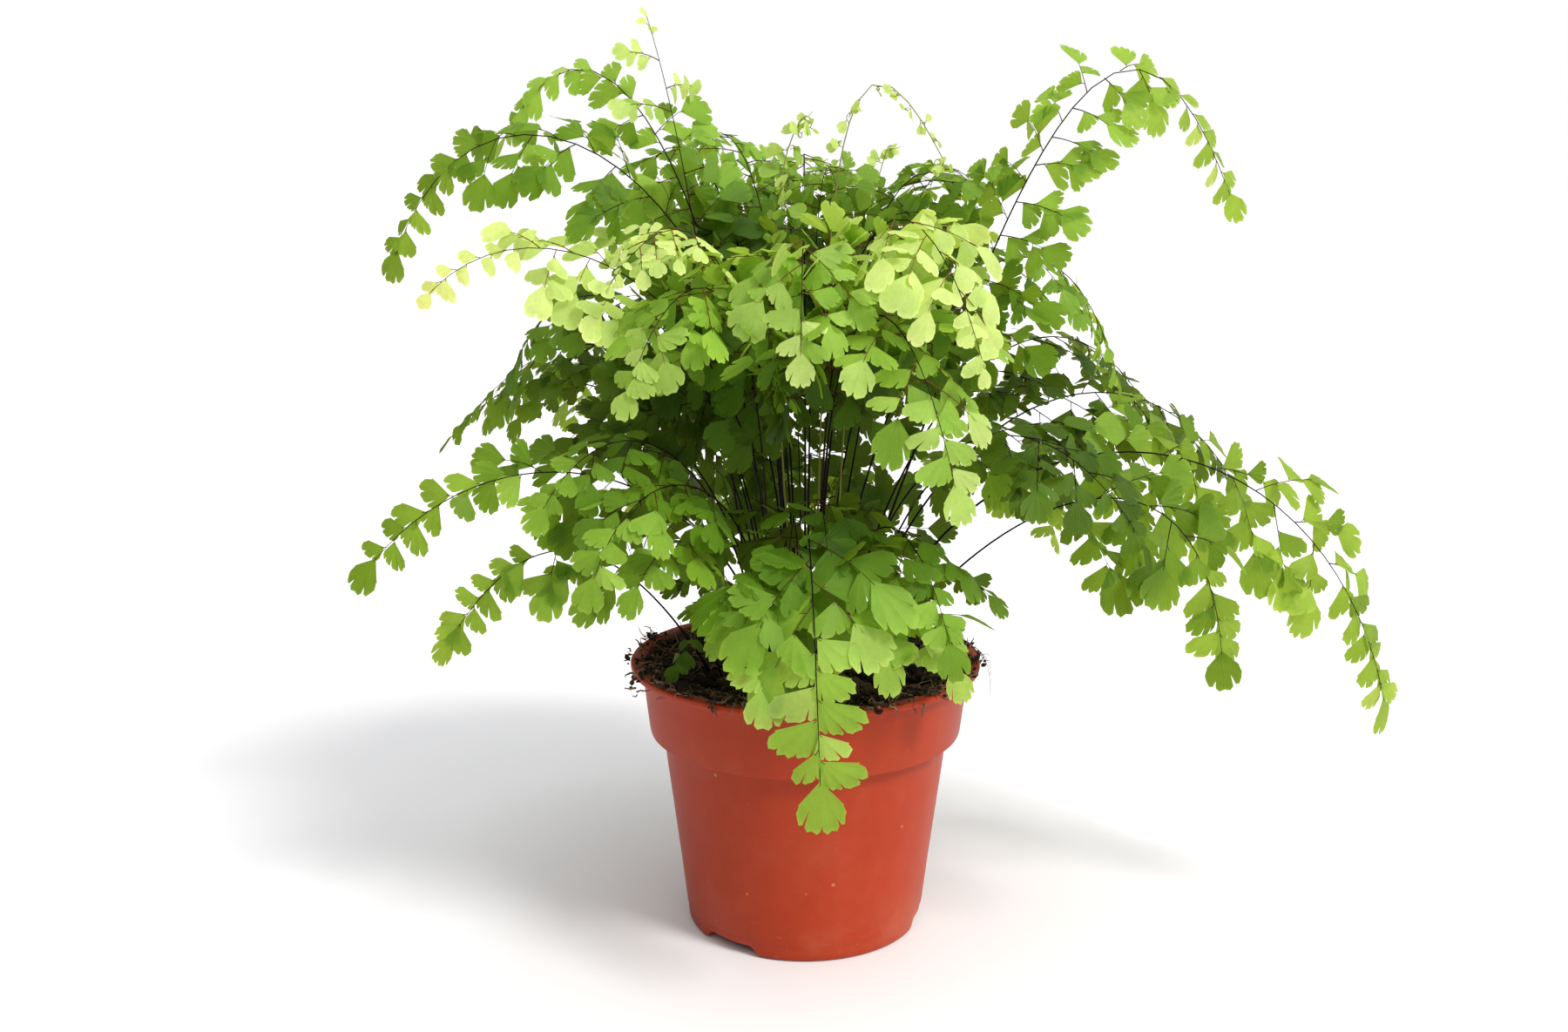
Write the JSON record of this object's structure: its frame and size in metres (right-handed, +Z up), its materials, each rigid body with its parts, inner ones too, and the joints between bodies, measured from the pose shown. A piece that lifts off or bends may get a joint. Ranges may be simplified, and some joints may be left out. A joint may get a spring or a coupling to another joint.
{
  "type": "potted maidenhair fern",
  "caption": "Bushy maidenhair fern of arching wiry fronds with small fan-shaped leaflets, growing from compost in a round tapered plastic nursery pot.",
  "frame": {"origin": "the middle of the pot's flat underside, on the pot's axis", "axes": "+Z up along the pot's axis, +X to the right of the plant's usual front view, along its widest spread, and -Y towards the front"},
  "size_m": [0.3466, 0.2513, 0.3212],
  "materials": {
    "pot_plastic": "satin, thin moulded plastic the colour of fired clay, dusty, with pale lime specks",
    "peat": "matte, loose dark peat compost with brown root fibres",
    "rootstock": "matte, scaly dark brown rhizome",
    "frond_mature": "satin, thin leaf tissue that lets light through, on glossy near-black stalks",
    "frond_young": "satin, thin pale yellow-green young leaf tissue on thin brown stalks"
  },
  "bodies": {
    "root": {"compost": "peat", "crozier_back": "frond_young", "crozier_middle": "frond_young", "crozier_right": "frond_young", "frond_back_high": "frond_mature", "frond_back_left_high": "frond_mature", "frond_back_left_low": "frond_mature", "frond_back_left_mid": "frond_mature", "frond_back_low": "frond_mature", "frond_back_mid": "frond_mature", "frond_back_right_high": "frond_mature", "frond_back_right_low": "frond_mature", "frond_back_right_mid": "frond_mature", "frond_back_short": "frond_mature", "frond_centre_high": "frond_mature", "frond_centre_top": "frond_mature", "frond_crest_pale": "frond_young", "frond_front_hanging": "frond_mature", "frond_front_left": "frond_mature", "frond_front_low": "frond_mature", "frond_front_low_left": "frond_mature", "frond_front_low_middle": "frond_mature", "frond_front_low_right": "frond_mature", "frond_front_mid": "frond_mature", "frond_front_right_high": "frond_mature", "frond_front_right_low": "frond_mature", "frond_left_back_low": "frond_mature", "frond_left_front_high": "frond_mature", "frond_left_front_low": "frond_mature", "frond_left_front_mid": "frond_mature", "frond_left_high": "frond_mature", "frond_left_long": "frond_mature", "frond_left_low": "frond_mature", "frond_left_mid": "frond_mature", "frond_left_mid_back": "frond_mature", "frond_left_pale": "frond_young", "frond_left_short": "frond_mature", "frond_left_top": "frond_mature", "frond_left_upper": "frond_mature", "frond_right_front_low": "frond_mature", "frond_right_front_mid": "frond_mature", "frond_right_inner_high": "frond_mature", "frond_right_long": "frond_mature", "frond_right_low": "frond_mature", "frond_right_mid": "frond_mature", "frond_right_mid_back": "frond_mature", "frond_right_rim": "frond_mature", "frond_right_short": "frond_mature", "frond_right_upper": "frond_mature", "frond_small_pale": "frond_young", "frond_sprout": "frond_mature", "frond_tall": "frond_young", "frond_top_left": "frond_mature", "frond_top_right": "frond_mature", "frond_top_right_back": "frond_mature", "pot": "pot_plastic", "rhizome": "rootstock"}
  },
  "joints": []
}
